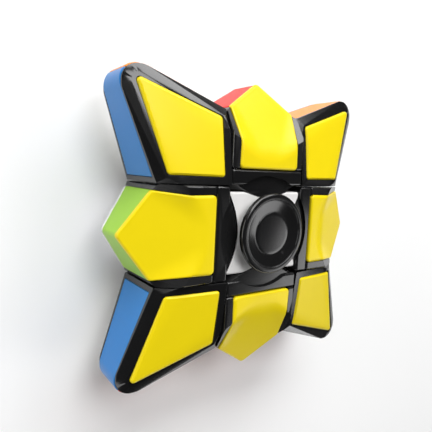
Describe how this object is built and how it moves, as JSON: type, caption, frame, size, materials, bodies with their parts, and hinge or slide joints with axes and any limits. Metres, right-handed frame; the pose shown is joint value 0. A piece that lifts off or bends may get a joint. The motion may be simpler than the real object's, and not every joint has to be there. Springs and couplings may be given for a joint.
{
  "type": "twisty puzzle spinner",
  "caption": "Flat star-shaped twisty puzzle with dart-shaped corners, pointed edge pieces and a dished finger spinner on a ball bearing at its centre.",
  "frame": {"origin": "centre of the bounding box's base, on the spin axis, where the rear finger cap rests on a surface", "axes": "+Z is the spin axis and points out of the yellow front face; +Y points to the puzzle's top edge piece; +X to its right edge piece, seen from the front"},
  "size_m": [0.0672, 0.0672, 0.0262],
  "materials": {
    "black_plastic": "gloss",
    "yellow_plastic": "gloss",
    "white_plastic": "gloss",
    "blue_plastic": "gloss",
    "green_plastic": "gloss",
    "red_plastic": "gloss",
    "orange_plastic": "gloss",
    "core_plastic": "satin",
    "steel": "polished"
  },
  "bodies": {
    "finger_caps": {"finger_cap_front": "black_plastic", "finger_cap_rear": "black_plastic", "bearing_inner_ring": "steel"},
    "bearing_balls": {"bearing_ball_1": "steel", "bearing_ball_2": "steel", "bearing_ball_3": "steel", "bearing_ball_4": "steel", "bearing_ball_5": "steel", "bearing_ball_6": "steel"},
    "core": {"core_base": "core_plastic", "core_front_cover": "core_plastic", "bearing_outer_ring": "steel", "edge_top_screw": "steel", "edge_top_spring": "steel", "edge_left_screw": "steel", "edge_left_spring": "steel", "edge_bottom_screw": "steel", "edge_bottom_spring": "steel", "edge_right_screw": "steel", "edge_right_spring": "steel"},
    "edge_top": {"edge_top_hub": "black_plastic", "edge_top_shell": "black_plastic", "edge_top_front_tile": "yellow_plastic", "edge_top_rear_tile": "white_plastic", "edge_top_tip_tile": "red_plastic"},
    "edge_left": {"edge_left_hub": "black_plastic", "edge_left_shell": "black_plastic", "edge_left_front_tile": "yellow_plastic", "edge_left_rear_tile": "white_plastic", "edge_left_tip_tile": "green_plastic"},
    "edge_bottom": {"edge_bottom_hub": "black_plastic", "edge_bottom_shell": "black_plastic", "edge_bottom_front_tile": "yellow_plastic", "edge_bottom_rear_tile": "white_plastic", "edge_bottom_tip_tile": "orange_plastic"},
    "edge_right": {"edge_right_hub": "black_plastic", "edge_right_shell": "black_plastic", "edge_right_front_tile": "yellow_plastic", "edge_right_rear_tile": "white_plastic", "edge_right_tip_tile": "blue_plastic"},
    "corner_top_right": {"corner_top_right_body": "black_plastic", "corner_top_right_front_tile": "yellow_plastic", "corner_top_right_rear_tile": "white_plastic", "corner_top_right_right_tile": "green_plastic", "corner_top_right_top_tile": "orange_plastic"},
    "corner_top_left": {"corner_top_left_body": "black_plastic", "corner_top_left_front_tile": "yellow_plastic", "corner_top_left_rear_tile": "white_plastic", "corner_top_left_top_tile": "orange_plastic", "corner_top_left_left_tile": "blue_plastic"},
    "corner_bottom_left": {"corner_bottom_left_body": "black_plastic", "corner_bottom_left_front_tile": "yellow_plastic", "corner_bottom_left_rear_tile": "white_plastic", "corner_bottom_left_left_tile": "blue_plastic", "corner_bottom_left_bottom_tile": "red_plastic"},
    "corner_bottom_right": {"corner_bottom_right_body": "black_plastic", "corner_bottom_right_front_tile": "yellow_plastic", "corner_bottom_right_rear_tile": "white_plastic", "corner_bottom_right_bottom_tile": "red_plastic", "corner_bottom_right_right_tile": "green_plastic"}
  },
  "joints": [
    {"name": "spin", "type": "hinge", "parent": "finger_caps", "child": "core", "pos_m": [0, 0, 0.01312], "axis": [0, 0, 1], "continuous": true},
    {"name": "ball_orbit", "type": "hinge", "parent": "finger_caps", "child": "bearing_balls", "pos_m": [0, 0, 0.01312], "axis": [0, 0, 1], "continuous": true},
    {"name": "left_turn", "type": "hinge", "parent": "core", "child": "edge_left", "pos_m": [0, 0, 0.01312], "axis": [1, 0, 0], "range_deg": [-180, 180]},
    {"name": "right_turn", "type": "hinge", "parent": "core", "child": "edge_right", "pos_m": [0, 0, 0.01312], "axis": [1, 0, 0], "range_deg": [-180, 180]},
    {"name": "top_turn", "type": "hinge", "parent": "core", "child": "edge_top", "pos_m": [0, 0, 0.01312], "axis": [0, 1, 0], "range_deg": [-180, 180]},
    {"name": "bottom_turn", "type": "hinge", "parent": "core", "child": "edge_bottom", "pos_m": [0, 0, 0.01312], "axis": [0, 1, 0], "range_deg": [-180, 180]},
    {"name": "corner_top_right_turn", "type": "hinge", "parent": "edge_right", "child": "corner_top_right", "pos_m": [0, 0, 0.01312], "axis": [0, 1, 0], "range_deg": [-180, 180]},
    {"name": "corner_top_left_turn", "type": "hinge", "parent": "edge_left", "child": "corner_top_left", "pos_m": [0, 0, 0.01312], "axis": [0, 1, 0], "range_deg": [-180, 180]},
    {"name": "corner_bottom_left_turn", "type": "hinge", "parent": "edge_left", "child": "corner_bottom_left", "pos_m": [0, 0, 0.01312], "axis": [0, 1, 0], "range_deg": [-180, 180]},
    {"name": "corner_bottom_right_turn", "type": "hinge", "parent": "edge_right", "child": "corner_bottom_right", "pos_m": [0, 0, 0.01312], "axis": [0, 1, 0], "range_deg": [-180, 180]}
  ],
  "couplings": [
    {"joint": "ball_orbit", "follows": "spin", "ratio": 0.588},
    {"joint": "corner_top_right_turn", "follows": "top_turn", "ratio": 1},
    {"joint": "corner_top_left_turn", "follows": "top_turn", "ratio": 1},
    {"joint": "corner_bottom_left_turn", "follows": "bottom_turn", "ratio": 1},
    {"joint": "corner_bottom_right_turn", "follows": "bottom_turn", "ratio": 1}
  ]
}
